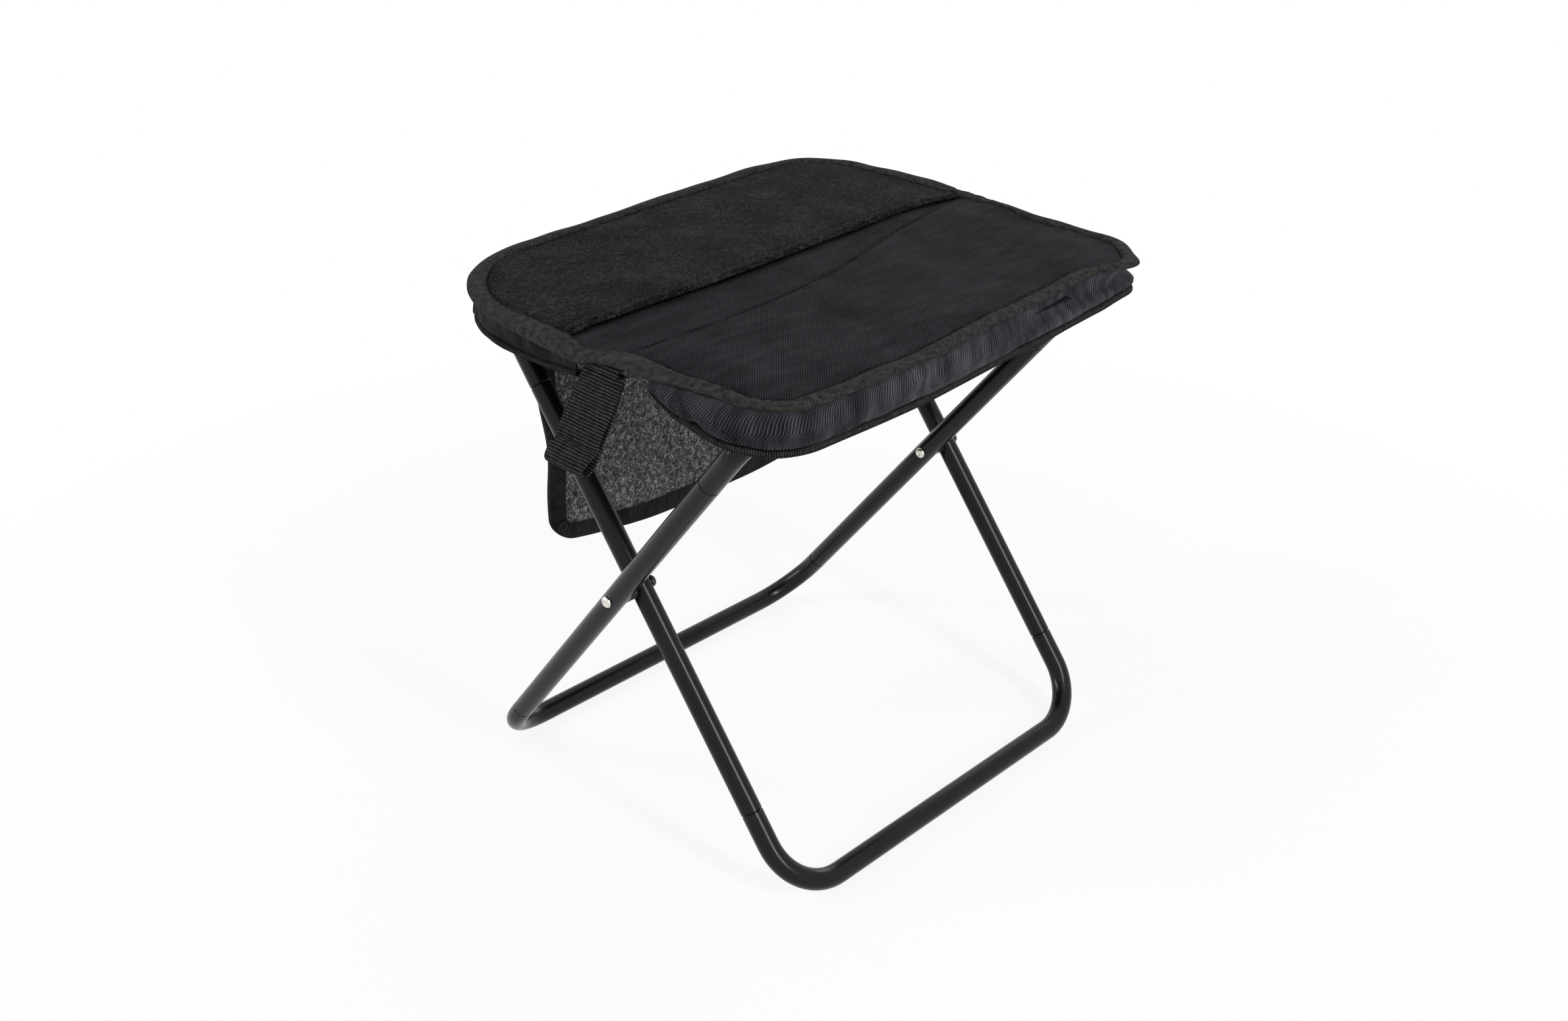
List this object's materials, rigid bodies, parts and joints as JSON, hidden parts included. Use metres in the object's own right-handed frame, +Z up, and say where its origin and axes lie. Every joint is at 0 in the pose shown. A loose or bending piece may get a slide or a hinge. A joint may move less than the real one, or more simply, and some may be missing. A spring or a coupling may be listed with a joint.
{
  "type": "folding stool with an insulated flap",
  "caption": "Folding stool with two crossed black tube frames, a seat sewn in two padded halves, a webbing handle and a hanging lined flap.",
  "frame": {"origin": "on the floor, under the middle of the open stool's overall box, handle included", "axes": "+X across the fold towards the half with the handle, +Y along the pivot away from the handle, +Z up"},
  "size_m": [0.366, 0.4578, 0.404],
  "materials": {
    "black_paint": "satin black powder coat",
    "bright_steel": "bright plated",
    "black_plastic": "matt",
    "board_plastic": "matt, hidden under the fabric",
    "creased_fabric": "finely creased black fabric",
    "smooth_fabric": "plain blue-black woven fabric",
    "band_fabric": "ribbed black binding tape",
    "webbing": "ribbed black webbing",
    "grey_lining": "flecked grey felt"
  },
  "bodies": {
    "frame_a": {"a_near_leg": "black_paint", "a_far_leg": "black_paint", "a_foot_bend": "black_paint", "a_top_bend": "black_paint", "near_pivot_bolt": "bright_steel", "near_pivot_spacer": "black_plastic", "near_cap_nut": "black_plastic", "far_pivot_bolt": "bright_steel", "far_pivot_spacer": "black_plastic", "far_cap_nut": "black_plastic"},
    "frame_b": {"b_near_leg": "black_paint", "b_far_leg": "black_paint", "b_foot_bend": "black_paint", "b_top_bend": "black_paint"},
    "seat_right": {"seat_board_right": "board_plastic", "seat_pad_right": "smooth_fabric", "rim_band_right": "band_fabric", "side_wall_right": "smooth_fabric", "edge_binding_right": "band_fabric", "bar_sleeve_right": "smooth_fabric", "crease_strip_right": "smooth_fabric", "handle_anchor": "webbing"},
    "seat_left": {"seat_board_left": "board_plastic", "seat_pad_left": "creased_fabric", "rim_band_left": "band_fabric", "side_wall_left": "smooth_fabric", "edge_binding_left": "band_fabric", "bar_sleeve_left": "smooth_fabric", "crease_strip_left": "creased_fabric", "flap_seam_tape": "smooth_fabric"},
    "handle": {"handle_loop": "webbing"},
    "flap": {"flap_panel": "smooth_fabric", "flap_lining": "grey_lining", "flap_binding": "smooth_fabric"}
  },
  "joints": [
    {"name": "fold", "type": "hinge", "parent": "frame_a", "child": "frame_b", "pos_m": [0, 0.01641, 0.2013], "axis": [0, 1, 0], "range_deg": [0, 56.5]},
    {"name": "seat_right_tilt", "type": "hinge", "parent": "frame_a", "child": "seat_right", "pos_m": [0.14659, 0.01641, 0.38395], "axis": [0, 1, 0], "range_deg": [-51, 0], "deforming": ["crease_strip_right"]},
    {"name": "seat_left_tilt", "type": "hinge", "parent": "frame_b", "child": "seat_left", "pos_m": [-0.14659, 0.01641, 0.38395], "axis": [0, 1, 0], "range_deg": [0, 51], "deforming": ["crease_strip_left"]},
    {"name": "handle_swing", "type": "hinge", "parent": "seat_right", "child": "handle", "pos_m": [0.04, -0.19309, 0.3887], "axis": [1, 0, 0], "range_deg": [-75, 32]},
    {"name": "flap_swing", "type": "hinge", "parent": "seat_left", "child": "flap", "pos_m": [-0.123, 0.01641, 0.3783], "axis": [0, 1, 0], "range_deg": [-90, 25]}
  ],
  "couplings": [
    {"joint": "seat_right_tilt", "follows": "fold", "ratio": -0.898},
    {"joint": "seat_left_tilt", "follows": "fold", "ratio": 0.898}
  ]
}
